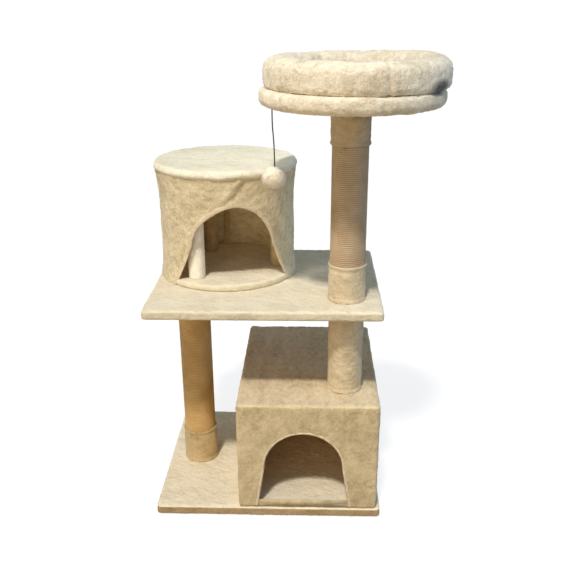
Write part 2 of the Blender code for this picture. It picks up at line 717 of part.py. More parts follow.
def toy():
    """Loop on the staple's crown, cord under the loop, pompom on the cord. Each pivot is an empty."""
    x, y = TOY
    crown = empty("toy_loop_pivot", (x, y, CROWN_Z), ROOT)
    loop_centre = -(LOOP_RADIUS - LOOP_WIRE - GAP - STAPLE_WIRE)
    ring = []
    for i in range(LOOP_STEPS):
        turn = 2 * pi * i / LOOP_STEPS
        ring.append((0, LOOP_RADIUS * sin(turn), loop_centre + LOOP_RADIUS * cos(turn)))
    wire("toy_loop", "cord", ring, LOOP_WIRE, cyclic=True, parent=crown)
    swing_z = CROWN_Z + loop_centre - LOOP_RADIUS
    swing = empty("toy_swing_pivot", (0, 0, swing_z - CROWN_Z), crown)
    route = [(px - x, 0, pz - swing_z) for px, pz in CORD_ROUTE]
    wire("toy_cord", "cord", route, CORD_RADIUS, parent=swing)
    pompom(swing, (POMPOM_X - x, 0, POMPOM_Z - swing_z))


def pompom(parent, location):
    bm = bmesh.new()
    bmesh.ops.create_uvsphere(bm, u_segments=16, v_segments=10, radius=1)
    bmesh.ops.scale(bm, vec=POMPOM_HALF, verts=bm.verts)
    mesh = bpy.data.meshes.new("toy_pompom")
    bm.to_mesh(mesh)
    bm.free()
    smooth(mesh)
    add_object("toy_pompom", mesh, "pompom", location, parent)


# ---------------------------------------------------------------- assembly

def build():
    base = covered_board("base", BASE_BOARD, (0, 0), 0.0)
    platform = covered_board("platform", PLATFORM_BOARD, PLATFORM_CENTRE, PLATFORM_UNDERSIDE)
    roof_panel, condo_cover = condo(base)
    left_post(base, platform)
    right_post(roof_panel, condo_cover, platform)
    upper_post()
    drum(platform)
    board, cover = perch()
    toy_staple(board, cover)
    toy()


build()
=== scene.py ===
"""Looks of the cat tree: plush covers, sisal cord, drum fabric, stuffed bed and hanging toy.

Every piece is built around the CAD frame in metres, +Z up, the front of the tree facing -Y.
Angles round a post, drum or bed are counted from the front, towards +X.
"""

import json
from math import cos, pi, radians, sin, tau

import bmesh
import bpy
import numpy as np
from mathutils import Matrix, Vector


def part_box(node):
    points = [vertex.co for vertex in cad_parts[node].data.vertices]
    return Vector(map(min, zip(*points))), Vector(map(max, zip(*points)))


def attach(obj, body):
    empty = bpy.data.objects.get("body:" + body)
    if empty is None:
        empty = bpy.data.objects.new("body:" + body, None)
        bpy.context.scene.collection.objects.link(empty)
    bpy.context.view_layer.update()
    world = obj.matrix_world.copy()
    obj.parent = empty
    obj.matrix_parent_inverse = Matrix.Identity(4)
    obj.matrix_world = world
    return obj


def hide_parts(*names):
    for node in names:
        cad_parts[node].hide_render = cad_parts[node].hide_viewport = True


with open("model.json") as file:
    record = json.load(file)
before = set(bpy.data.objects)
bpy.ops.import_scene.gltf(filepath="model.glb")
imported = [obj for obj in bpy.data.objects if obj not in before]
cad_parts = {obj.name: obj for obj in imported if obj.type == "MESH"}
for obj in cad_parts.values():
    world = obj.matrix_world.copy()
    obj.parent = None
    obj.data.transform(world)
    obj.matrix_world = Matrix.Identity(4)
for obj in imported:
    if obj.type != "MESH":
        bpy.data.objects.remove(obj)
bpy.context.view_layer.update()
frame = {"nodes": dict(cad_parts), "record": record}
SCENE = bpy.context.scene
BODY = "tree"

# Camera.
CAMERA_AT = (0.0421, -1.5391, 1.0740)
CAMERA_YAW = radians(1.8863)
CAMERA_PITCH = radians(22.0013)
CAMERA_ROLL = radians(-0.2746)
CAMERA_LENS = 46.8157
CAMERA_SENSOR = 36
CAMERA_SHIFT = (-0.0025646, 0.0273468)

# Toy: the cord's route, from the pivot under the loop, as (x, z), and the tufts of the pompom.
CORD_RADIUS = 0.00125
ROUTE_TOP = (0.0155, 0.88370)
CORD_ROUTE = [
    (0.0155, 0.88230), (0.0155, 0.87600), (0.0155, 0.86900), (0.0156, 0.86150), (0.0158, 0.85400),
    (0.0162, 0.84600), (0.0168, 0.83850), (0.0174, 0.83100), (0.0180, 0.82300), (0.0184, 0.81550),
    (0.0187, 0.80750), (0.0189, 0.80000), (0.0191, 0.79200), (0.0193, 0.78450), (0.0194, 0.77750),
    (0.0194, 0.77115),
]
TUFTS = 4200

# Doors: the same outlines as the CAD's, z from the floor.
CONDO_DOOR = {"half_width": 0.086, "spring_z": 0.1265, "crown_z": 0.2140, "flare": 0.157, "power": 2.0}
CONDO_DOOR_OFFSET = -0.0094
DRUM_DOOR = {"half_width": 0.088, "spring_z": 0.590, "crown_z": 0.6780, "flare": 0.36, "power": 1.75}
DRUM_DOOR_ANGLE = radians(10)
DRUM_DOOR_RADIUS = 0.1520
DRUM_MEAN_RADIUS = 0.1515

# Cloth and cord stock: thickness of plush and sisal, and the cloth turned under a board.
SKIN = 0.0022
ROPE = 0.0040
HEM = 0.025

# Meshes: spacing of points, gap under which doubled points merge, and where a board's pile starts.
STEP = 0.0035
MERGE = 0.00002
PILE_STARTS = 0.003


# ---------------------------------------------------------------- frame helpers

def box(node):
    low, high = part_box(node)
    return Vector(low), Vector(high)


def middle(node):
    low, high = box(node)
    return (low + high) / 2


def disc(node):
    """Centre, outer radius, lowest and highest z of a round upright node."""
    low, high = box(node)
    return ((low.x + high.x) / 2, (low.y + high.y) / 2), (high.x - low.x) / 2, low.z, high.z


def round_points(centre, radius, angle, z):
    """Places at these radii, angles and heights round an upright axis."""
    return np.stack([centre[0] + radius * np.sin(angle), centre[1] - radius * np.cos(angle), z], axis=-1)


def outward(angle):
    """Unit vectors that point away from the axis at these angles."""
    return np.stack([np.sin(angle), -np.cos(angle), np.zeros_like(angle)], axis=-1)


# ---------------------------------------------------------------- mesh helpers

def linked(name, data):
    obj = bpy.data.objects.new(name, data)
    SCENE.collection.objects.link(obj)
    return obj


def mesh_object(name, points, faces, material, close=0.0):
    """A smooth mesh object; close is the distance under which doubled points are merged."""
    mesh = bpy.data.meshes.new(name)
    mesh.from_pydata(np.asarray(points, dtype=float).tolist(), [], faces)
    bm = bmesh.new()
    bm.from_mesh(mesh)
    if close:
        bmesh.ops.remove_doubles(bm, verts=bm.verts, dist=close)
    loose = [v for v in bm.verts if not v.link_faces]
    bmesh.ops.delete(bm, geom=loose, context="VERTS")
    bmesh.ops.recalc_face_normals(bm, faces=bm.faces)
    bm.to_mesh(mesh)
    bm.free()
    mesh.shade_smooth()
    mesh.materials.append(material)
    return linked(name, mesh)


def grid_faces(rows, cols, wrap_rows=False, wrap_cols=False):
    faces = []
    for i in range(rows if wrap_rows else rows - 1):
        for j in range(cols if wrap_cols else cols - 1):
            a = i * cols + j
            b = i * cols + (j + 1) % cols
            c = ((i + 1) % rows) * cols + (j + 1) % cols
            d = ((i + 1) % rows) * cols + j
            faces.append((a, b, c, d))
    return faces


def resample(profile, step):
    """Points along a polyline no further apart than step, its own corners kept."""
    points = [np.array(profile[0], dtype=float)]
    for start, end in zip(profile[:-1], profile[1:]):
        start, end = np.array(start, dtype=float), np.array(end, dtype=float)
        pieces = max(1, int(np.ceil(np.linalg.norm(end - start) / step)))
        points += [start + (end - start) * (i + 1) / pieces for i in range(pieces)]
    return np.array(points)


def arc(centre, radius, start, end, steps=6):
    """Points on an ellipse in the (r, z) plane; angles are from +r towards +z."""
    turns = np.linspace(start, end, steps + 1)
    across, up = radius if hasattr(radius, "__len__") else (radius, radius)
    return [(centre[0] + across * cos(t), centre[1] + up * sin(t)) for t in turns]


def lathe(name, profile, centre, steps, material, ring=False, warp=None):
    """Turn (r, z) points about an upright axis. warp(angle, r, z) may move them first."""
    profile = np.asarray(profile, dtype=float)
    angles = np.arange(steps) * tau / steps
    angle, r = np.meshgrid(angles, profile[:, 0])
    _, z = np.meshgrid(angles, profile[:, 1])
    if warp:
        r, z = warp(angle, r, z)
    points = round_points(centre, r, angle, z)
    faces = grid_faces(len(profile), steps, wrap_rows=ring, wrap_cols=True)
    return mesh_object(name, points.reshape(-1, 3), faces, material, close=MERGE)


def stops(half, radius, step):
    """Sample places across a box face: close together on the rounded rims, even in between."""
    rim = np.linspace(0, radius, 5)
    core = half - radius
    count = max(1, int(round(2 * core / step)))
    inside = np.linspace(-core, core, count + 1)
    return np.concatenate([-half + rim[:-1], inside, (half - rim[:-1])[::-1]])


def box_grids(size, rounding, step, sides):
    """Dense grids over the named sides of a box, (axis, sign) each, with rounded edges."""
    half = np.array(size) / 2
    rounding = np.array(rounding)
    core = half - rounding
    points, faces = [], []
    for axis, sign in sides:
        u_axis, v_axis = [a for a in range(3) if a != axis]
        u = stops(half[u_axis], rounding[u_axis], step)
        v = stops(half[v_axis], rounding[v_axis], step)
        gu, gv = np.meshgrid(u, v)
        flat = np.zeros((*gu.shape, 3))
        flat[..., u_axis] = gu
        flat[..., v_axis] = gv
        flat[..., axis] = sign * half[axis]
        inner = np.clip(flat, -core, core)
        way = (flat - inner) / rounding
        way /= np.linalg.norm(way, axis=-1, keepdims=True)
        start = sum(len(p) for p in points)
        points.append((inner + way * rounding).reshape(-1, 3))
        faces += [tuple(start + i for i in face) for face in grid_faces(len(v), len(u))]
    return np.concatenate(points), faces


ALL_SIDES = [(axis, sign) for axis in range(3) for sign in (-1, 1)]


def half_width(door, z):
    """Half the door's width at height z; negative above the crown."""
    leg = door["half_width"] + door["flare"] * (door["spring_z"] - z)
    rise = np.clip((z - door["spring_z"]) / (door["crown_z"] - door["spring_z"]), 0, 1)
    crown = door["half_width"] * (1 - rise ** door["power"]) ** (1 / door["power"])
    width = np.where(z < door["spring_z"], leg, crown)
    return np.where(z > door["crown_z"], -1.0, width)


def door_outline(door, foot_z, steps=40):
    """The outline from the right foot over the crown to the left foot, as (across, z)."""
    rise = door["crown_z"] - door["spring_z"]
    right = [(door["half_width"] + door["flare"] * (door["spring_z"] - z), z)
             for z in np.linspace(foot_z, door["spring_z"], 24)[:-1]]
    for i in range(steps + 1):
        turn = pi / 2 * i / steps
        across = door["half_width"] * cos(turn) ** (2 / door["power"])
        right.append((across, door["spring_z"] + rise * sin(turn) ** (2 / door["power"])))
    return np.array(right + [(-a, z) for a, z in right[-2::-1]])


def open_door(faces, across, z, door, front):
    """Drop the faces inside the door, and give the rim points their places on the outline.

    Returns the kept faces, and a dict of rim point to its new (across, z).
    """
    inside = (np.abs(across) < half_width(door, z)) & front
    kept, dropped = [], []
    for face in faces:
        hits = sum(bool(inside[i]) for i in face)
        (dropped if hits >= 3 else kept).append(face)
    gone = {i for face in dropped for i in face}
    rim = {i for face in kept for i in face if i in gone or inside[i]}
    outline = door_outline(door, z.min(), 120)
    moved = {}
    for i in rim:
        gap = (outline[:, 0] - across[i]) ** 2 + (outline[:, 1] - z[i]) ** 2
        moved[i] = tuple(outline[int(np.argmin(gap))])
    return kept, moved


def swept(name, path, side, out, section, material):
    """A closed section swept along a path. side and out are the section's axes at each point."""
    across, up = section[:, 0], section[:, 1]
    rows = [p + np.outer(across, s) + np.outer(up, o) for p, s, o in zip(path, side, out)]
    count = len(section)
    faces = grid_faces(len(path), count, wrap_cols=True)
    points = np.concatenate(rows)
    faces.append(tuple(range(count)))
    faces.append(tuple(range(len(points) - count, len(points)))[::-1])
    return mesh_object(name, points, faces, material)


def oval(half_across, half_height, count=14, squareness=2.4):
    turns = np.arange(count) * tau / count
    across = np.sign(np.cos(turns)) * np.abs(np.cos(turns)) ** (2 / squareness)
    up = np.sign(np.sin(turns)) * np.abs(np.sin(turns)) ** (2 / squareness)
    return np.stack([half_across * across, half_height * up], axis=-1)


def sides_along(path, normal):
    """Sideways unit vectors of a path that lies in a surface with these outward normals."""
    tangent = np.gradient(path, axis=0)
    tangent /= np.linalg.norm(tangent, axis=1, keepdims=True)
    side = np.cross(tangent, normal)
    return side / np.linalg.norm(side, axis=1, keepdims=True)


def waves(seed, count, around, along):
    """A smooth random ripple of (angle, z) in -1..1, from a few seeded sine waves."""
    rng = np.random.default_rng(seed)
    turns = rng.integers(1, around + 1, count)
    rises = rng.uniform(-along, along, count)
    phases = rng.uniform(0, tau, count)

    def ripple(angle, z):
        total = sum(np.sin(k * angle + m * z + p) for k, m, p in zip(turns, rises, phases))
        return total / count ** 0.5 / 1.6
    return ripple


def bump_at(value, place, width):
    """A smooth bump of height 1 where value is near place."""
    return np.exp(-((value - place) / width) ** 2)


def turn_from(angle, place):
    """The signed angle from place, wrapped to -pi..pi."""
    return (angle - place + pi) % tau - pi


# ---------------------------------------------------------------- modifiers

def relief(obj, size, depth, detail=2, level=0.5, group=""):
    """Raise and sink the surface with cloud noise of that size; level is the noise left in place.

    Only the points of the named group move, if there is one.
    """
    texture = bpy.data.textures.new(f"{obj.name}_{size * 1000:.0f}mm", "CLOUDS")
    texture.noise_scale = size
    texture.noise_depth = detail
    modifier = obj.modifiers.new(texture.name, "DISPLACE")
    modifier.texture = texture
    modifier.texture_coords = "LOCAL"
    modifier.strength = depth
    modifier.mid_level = level
    modifier.vertex_group = group


def nap(obj, depth=1.0, flat_below=None):
    """The plush surface: brushed lumps a finger wide, and tufts of pile. It lies flat below a height."""
    name = ""
    if flat_below is not None:
        name = "pile"
        standing = [v.index for v in obj.data.vertices if v.co.z > flat_below]
        obj.vertex_groups.new(name=name).add(standing, 1.0, "REPLACE")
    relief(obj, 0.030, 0.0022 * depth, level=0.42, group=name)
    relief(obj, 0.007, 0.0026 * depth, level=0.40, group=name)


def two_tone(obj, material):
    """Give the faces that look sideways another material, a darker shade of the plush: painted shade on the
    sides.
    """
    obj.data.materials.append(material)
    for face in obj.data.polygons:
        face.material_index = int(abs(face.normal.z) < 0.5)


def thicken(obj, thickness=SKIN):
    solid = obj.modifiers.new("cloth", "SOLIDIFY")
    solid.thickness = thickness
    solid.offset = -1
    solid.use_rim = True


def subdivide(obj):
    modifier = obj.modifiers.new("smooth", "SUBSURF")
    modifier.levels = 1
    modifier.render_levels = 1


def inflate(obj, pressure, cap, pinned, frames=20):
    """Blow a closed mesh up with Cloth, cap how far its points move, and keep the result.

    pinned holds the numbers of the points that stay, such as those on a seam.
    """
    mesh = obj.data
    rest = np.empty(len(mesh.vertices) * 3)
    mesh.vertices.foreach_get("co", rest)
    cloth = obj.modifiers.new("Cloth", "CLOTH")
    settings = cloth.settings
    settings.quality = 5
    settings.mass = 0.15
    settings.tension_stiffness = 8
    settings.compression_stiffness = 8
    settings.shear_stiffness = 4
    settings.bending_stiffness = 0.3
    settings.use_pressure = True
    settings.uniform_pressure_force = pressure
    settings.effector_weights.gravity = 0
    group = obj.vertex_groups.new(name="seams")
    group.add([int(i) for i in pinned], 1.0, "REPLACE")
    settings.vertex_group_mass = group.name
    cloth.point_cache.frame_start = 1
    cloth.point_cache.frame_end = frames
    for number in range(1, frames + 1):
        SCENE.frame_set(number)
    evaluated = obj.evaluated_get(bpy.context.evaluated_depsgraph_get())
    blown = np.empty(len(mesh.vertices) * 3)
    evaluated.data.vertices.foreach_get("co", blown)
    move = (blown - rest).reshape(-1, 3)
    reach = np.linalg.norm(move, axis=1, keepdims=True)
    move *= np.minimum(1, cap / np.maximum(reach, 1e-9))
    obj.modifiers.remove(cloth)
    SCENE.frame_set(1)
    mesh.vertices.foreach_set("co", rest + move.reshape(-1))
    mesh.update()


# ---------------------------------------------------------------- materials

def preset(node, **values):
    """Set a shader node's inputs. An underscore stands for a space in an input's name."""
    for key, value in values.items():
        node.inputs[key.replace("_", " ")].default_value = value


class Shader:
    """A small helper that builds one Principled material node by node."""

    def __init__(self, name, **constants):
        self.material = bpy.data.materials.new(name)
        self.material.use_nodes = True
        self.tree = self.material.node_tree
        self.surface = self.tree.nodes["Principled BSDF"]
        preset(self.surface, **constants)
        self.place = self.node("ShaderNodeTexCoord").outputs["Object"]

    def node(self, kind, **settings):
        made = self.tree.nodes.new(kind)
        for key, value in settings.items():
            setattr(made, key, value)
        return made

    def link(self, source, target):
        self.tree.links.new(source, target)

    def mapped(self, scale=(1, 1, 1), turn=(0, 0, 0), place=None):
        made = self.node("ShaderNodeMapping")
        preset(made, Scale=scale, Rotation=turn)
        self.link(place or self.place, made.inputs["Vector"])
        return made.outputs["Vector"]

    def noise(self, scale, detail, rough, place=None):
        made = self.node("ShaderNodeTexNoise")
        preset(made, Scale=scale, Detail=detail, Roughness=rough)
        self.link(place or self.place, made.inputs["Vector"])
        return made.outputs["Fac"]

    def math(self, operation, a, b):
        made = self.node("ShaderNodeMath", operation=operation)
        for value, socket in ((a, made.inputs[0]), (b, made.inputs[1])):
            if isinstance(value, (int, float)):
                socket.default_value = value
            else:
                self.link(value, socket)
        return made.outputs["Value"]

    def blend(self, layers):
        """The weighted sum of several noises."""
        total = None
        for source, weight in layers:
            term = self.math("MULTIPLY", source, weight)
            total = term if total is None else self.math("ADD", total, term)
        return total

    def ramp(self, source, colours):
        """Colours at (position, (r, g, b)) stops."""
        made = self.node("ShaderNodeValToRGB")
        elements = made.color_ramp.elements
        while len(elements) < len(colours):
            elements.new(0.5)
        for element, (position, colour) in zip(elements, colours):
            element.position = position
            element.color = (*colour, 1)
        self.link(source, made.inputs["Fac"])
        return made.outputs["Color"]

    def span(self, source, low, high):
        made = self.node("ShaderNodeMapRange")
        preset(made, To_Min=low, To_Max=high)
        self.link(source, made.inputs["Value"])
        return made.outputs["Result"]

    def shade_patch(self, colour, place, reach, tone):
        """Darken a colour round one place in a low, wide patch that fades out at reach: painted shade."""
        squash = (1.0, 1.0, 2.2)
        low = self.node("ShaderNodeVectorMath", operation="MULTIPLY")
        low.inputs[1].default_value = squash
        self.link(self.place, low.inputs[0])
        gap = self.node("ShaderNodeVectorMath", operation="DISTANCE")
        gap.inputs[1].default_value = [part * share for part, share in zip(place, squash)]
        self.link(low.outputs["Vector"], gap.inputs[0])
        fade = self.node("ShaderNodeMapRange", interpolation_type="SMOOTHSTEP")
        preset(fade, From_Min=reach * 0.3, From_Max=reach, To_Min=1.0, To_Max=0.0)
        self.link(gap.outputs["Value"], fade.inputs["Value"])
        mix = self.node("ShaderNodeMixRGB", blend_type="MULTIPLY")
        preset(mix, Color2=(*tone, 1))
        self.link(fade.outputs["Result"], mix.inputs["Fac"])
        self.link(colour, mix.inputs["Color1"])
        return mix.outputs["Color"]

    def colour(self, output):
        self.link(output, self.surface.inputs["Base Color"])

    def roughness(self, source, low, high):
        self.link(self.span(source, low, high), self.surface.inputs["Roughness"])

    def bump(self, source, distance):
        made = self.node("ShaderNodeBump")
        preset(made, Distance=distance)
        self.link(source, made.inputs["Height"])
        self.link(made.outputs["Normal"], self.surface.inputs["Normal"])


def tint(colour, factor):
    return tuple(channel * factor for channel in colour)


def plush(name, colour, stretch=(1, 1, 1), turn=(0, 0, 0), contrast=1.0, shade_patch=None):
    """Short-pile plush: patches brushed each way, streaks of lying pile, tufts and fibres.

    The last argument gives the place and reach of one dark patch of painted shade.
    """
    s = Shader(name, Sheen_Weight=0.22, Sheen_Roughness=0.5, Specular_IOR_Level=0.12)
    preset(s.surface, Sheen_Tint=(1.0, 0.95, 0.85, 1))
    brushed = s.mapped(stretch, turn)
    patches = s.noise(15, 2, 0.5, brushed)
    streaks = s.noise(40, 3, 0.62, s.mapped((1, 2.6, 1), (0.3, 0.1, 0.2), brushed))
    tufts = s.noise(260, 2, 0.6)
    fibres = s.noise(1400, 1, 0.5)
    shade = s.blend([(patches, 0.26), (streaks, 0.38), (tufts, 0.26), (fibres, 0.10)])
    spread = 0.125 / contrast
    pile = s.ramp(shade, [
        (0.5 - spread, tint((colour[0], colour[1] * 0.96, colour[2] * 0.88), 0.72)),
        (0.5, colour),
        (0.5 + spread, tint((colour[0], colour[1] * 1.03, colour[2] * 1.08), 1.20)),
    ])
    if shade_patch:
        pile = s.shade_patch(pile, *shade_patch, (0.11, 0.12, 0.17))
    s.colour(pile)
    s.roughness(patches, 0.85, 1.0)
    s.bump(s.blend([(streaks, 0.45), (tufts, 0.40), (fibres, 0.15)]), 0.0038)
    return s.material


def sisal(name, tone):
    """Twisted sisal cord: u runs along the cord and v round it, so strands are slanted stripes.

    tone scales its colours, so that the two posts' cords can be matched to the photo one by one.
    """
    s = Shader(name, Specular_IOR_Level=0.25)
    uv = s.node("ShaderNodeUVMap").outputs["UV"]
    strands = s.node("ShaderNodeTexWave", wave_type="BANDS", bands_direction="DIAGONAL")
    preset(strands, Scale=1.0, Distortion=0.6)
    s.link(s.mapped(place=uv), strands.inputs["Vector"])
    hair = s.noise(900, 3, 0.7)
    length = s.noise(30, 2, 0.5)
    shade = s.blend([(strands.outputs["Fac"], 0.35), (hair, 0.35), (length, 0.30)])
    browns = [(0.25, (0.39, 0.235, 0.09)), (0.50, (0.70, 0.46, 0.20)), (0.75, (0.93, 0.72, 0.42))]
    s.colour(s.ramp(shade, [
        (stop, tuple(part * share for part, share in zip(brown, tone))) for stop, brown in browns
    ]))
    s.roughness(hair, 0.75, 1.0)
    s.bump(s.blend([(strands.outputs["Fac"], 0.6), (hair, 0.4)]), 0.0010)
    return s.material


def chipboard():
    """Pressed wood chips: flakes in several browns, with dark specks of bark and glue."""
    s = Shader("chipboard_raw", Specular_IOR_Level=0.3)
    flakes = s.node("ShaderNodeTexVoronoi", feature="F1")
    preset(flakes, Scale=260, Randomness=1.0)
    s.link(s.mapped((1, 1, 1.6), (0.4, 0.2, 0.3)), flakes.inputs["Vector"])
    tone = s.node("ShaderNodeSeparateColor")
    s.link(flakes.outputs["Color"], tone.inputs["Color"])
    grain = s.noise(700, 3, 0.6)
    cloud = s.noise(40, 2, 0.5)
    shade = s.blend([(tone.outputs["Red"], 0.5), (grain, 0.3), (cloud, 0.2)])
    # These browns are pushed towards orange: painted warm bounce light, as inside the condo.
    s.colour(s.ramp(shade, [
        (0.15, (0.27, 0.145, 0.034)), (0.40, (0.58, 0.34, 0.090)),
        (0.65, (0.74, 0.47, 0.135)), (0.90, (0.84, 0.60, 0.21)),
    ]))
    s.roughness(grain, 0.70, 0.95)
    s.bump(shade, 0.0006)
    return s.material


def cardboard():
    s = Shader("tube_cardboard", Specular_IOR_Level=0.2)
    fibres = s.noise(500, 3, 0.6, s.mapped((1, 1, 6)))
    s.colour(s.ramp(fibres, [(0.35, (0.27, 0.185, 0.11)), (0.65, (0.44, 0.32, 0.20))]))
    s.roughness(fibres, 0.8, 0.95)
    s.bump(fibres, 0.0003)
    return s.material


def plastic():
    s = Shader("plug_plastic")
    grain = s.noise(900, 2, 0.5)
    s.colour(s.ramp(grain, [(0.3, (0.018, 0.018, 0.019)), (0.7, (0.035, 0.035, 0.036))]))
    s.roughness(grain, 0.38, 0.6)
    s.bump(grain, 0.0001)
    return s.material


def zinc(name, tone=1.0):
    """Zinc-plated steel: faint spangle and drawn scratches. A low tone gives dark wire."""
    s = Shader(name, Metallic=1.0)
    spangle = s.noise(350, 3, 0.6)
    scratches = s.noise(900, 2, 0.6, s.mapped((1, 1, 14)))
    shade = s.blend([(spangle, 0.6), (scratches, 0.4)])
    s.colour(s.ramp(shade, [(0.3, tint((0.47, 0.48, 0.50), tone)), (0.7, tint((0.70, 0.70, 0.69), tone))]))
    s.roughness(shade, 0.22, 0.50)
    s.bump(scratches, 0.00008)
    return s.material


def braid():
    """Black elastic cord with a fine braid."""
    s = Shader("black_braid", Specular_IOR_Level=0.3)
    plait = s.node("ShaderNodeTexWave", wave_type="BANDS", bands_direction="Z")
    preset(plait, Scale=260, Distortion=3.0, Detail=1.0)
    s.link(s.place, plait.inputs["Vector"])
    lint = s.noise(2500, 2, 0.6)
    shade = s.blend([(plait.outputs["Fac"], 0.6), (lint, 0.4)])
    s.colour(s.ramp(shade, [(0.3, (0.010, 0.010, 0.011)), (0.8, (0.050, 0.048, 0.046))]))
    s.roughness(lint, 0.6, 0.85)
    s.bump(plait.outputs["Fac"], 0.0003)
    return s.material


def fluff():
    """Loose fleece. A little glow stands in for the light that passes through it."""
    s = Shader("pompom_fluff", Sheen_Weight=0.45, Sheen_Roughness=0.5, Specular_IOR_Level=0.1)
    preset(s.surface, Sheen_Tint=(1.0, 0.95, 0.88, 1))
    preset(s.surface, Emission_Color=(1.0, 0.84, 0.62, 1), Emission_Strength=0.13)
    curls = s.noise(300, 3, 0.6)
    fibres = s.noise(1500, 2, 0.5)
    shade = s.blend([(curls, 0.65), (fibres, 0.35)])
    s.colour(s.ramp(shade, [
        (0.30, (0.86, 0.73, 0.55)), (0.5, (0.95, 0.86, 0.70)), (0.7, (0.97, 0.91, 0.80)),
    ]))
    s.roughness(fibres, 0.85, 1.0)
    s.bump(shade, 0.0012)
    return s.material


# The tree's cloth is most likely one cream plush. These shades were picked region by region so that
# the picture's tones match the photo's under the studio's lamps, and so they hold some of its shading.
# Lighter shades, as on the drum's roof and level tops, hold painted light; darker ones on sides and parts
# in shadow hold painted shade.
LEVEL = plush("plush_level", (0.75, 0.65, 0.475), stretch=(1.0, 1.3, 1.0), turn=(0, 0, 0.5), contrast=0.6)
# The next three shades are darker copies for sideways faces, the base's, the platform's and the condo's:
# painted shade.
EDGE = plush("plush_edges", (0.40, 0.285, 0.145), stretch=(1.0, 1.3, 1.0), contrast=0.8)
SIDES = plush("plush_sides", (0.66, 0.57, 0.41), stretch=(1.0, 1.3, 1.0), contrast=0.7)
FRONT = plush("plush_walls", (0.575, 0.45, 0.265), stretch=(1.3, 1.0, 1.0), turn=(0.3, 0.8, 0.2))
LID = plush("plush_condo_top", (0.655, 0.515, 0.32), stretch=(2.4, 0.6, 1.0), contrast=0.9)
DRUM = plush("plush_drum", (0.655, 0.54, 0.345), stretch=(1, 1, 1.5), turn=(0.2, 0.9, 0), contrast=1.2)
ROOF = plush("plush_roof", (0.81, 0.74, 0.57), stretch=(1.0, 1.2, 1.0), contrast=0.7)
UPRIGHT = {"stretch": (1.0, 1.0, 1.3), "turn": (0.6, 0.4, 0.0)}
WRAP = plush("plush_wraps", (0.62, 0.50, 0.325), **UPRIGHT)
# The next shade is a darker copy of the wraps, painted shade, for the left post's collar, the drum's right
# and back struts and its back seam.
SHADED_WRAP = plush("plush_shaded_wrap", (0.50, 0.37, 0.19), **UPRIGHT)
# The next shade is the perch's shadow on the upper post's top collar, painted.
PERCH_SHADOW_WRAP = plush("plush_perch_shadow_wrap", (0.45, 0.34, 0.205), **UPRIGHT)
# A lighter shade for the drum's left strut: painted light, where it catches the light through the door.
LIT_STRUT = plush("plush_lit_strut", (0.87, 0.79, 0.65), contrast=0.7)
# The bed's plush carries a dark bluish patch on the bolster's lower right, painted shade on the side turned
# from the lamps.
BED = plush("plush_bed", (0.76, 0.66, 0.50), stretch=(1.0, 1.0, 1.3),
            shade_patch=((0.271, -0.174, 0.931), 0.046))
HEMS = plush("plush_hems", (0.69, 0.56, 0.38), contrast=0.7)
SISAL = sisal("sisal_cord", (1.0, 0.95, 0.82))
# The upper post's cord is toned bluer and darker: painted shade from the perch over it.
SHADED_SISAL = sisal("sisal_cord_shaded", (0.88, 0.94, 1.20))
CHIPBOARD = chipboard()
CARDBOARD = cardboard()
PLASTIC = plastic()
ZINC = zinc("zinc_plate")
DARK_WIRE = zinc("dark_wire", 0.12)
BRAID = braid()
FLUFF = fluff()


def finish_piece(obj, slot, *nodes, body=BODY):
    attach(obj, body)
    if nodes:
        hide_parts(*nodes)
    return obj


def dress_cad():
    """Better materials on the CAD nodes that stay: boards, tubes, plugs, fasteners and the loop."""
    looks = {
        "chipboard": CHIPBOARD, "cardboard": CARDBOARD, "black_plastic": PLASTIC,
        "zinc_steel": ZINC, "black_cord": BRAID,
    }
    for part in frame["record"]["subparts"]:
        if part["material_slot"] in looks:
            for place in frame["nodes"][part["node"]].material_slots:
                place.material = looks[part["material_slot"]]
    for place in frame["nodes"]["sisal_staple"].material_slots:
        place.material = DARK_WIRE


# ---------------------------------------------------------------- camera and toy

def camera():
    data = bpy.data.cameras.new("camera")
    data.sensor_width = CAMERA_SENSOR
    data.lens = CAMERA_LENS
    data.shift_x, data.shift_y = CAMERA_SHIFT
    data.clip_end = 100
    obj = linked("camera", data)
    turn = Matrix.Rotation(CAMERA_YAW, 4, "Z") @ Matrix.Rotation(pi / 2 - CAMERA_PITCH, 4, "X")
    obj.matrix_world = Matrix.Translation(CAMERA_AT) @ turn @ Matrix.Rotation(CAMERA_ROLL, 4, "Z")
    SCENE.camera = obj


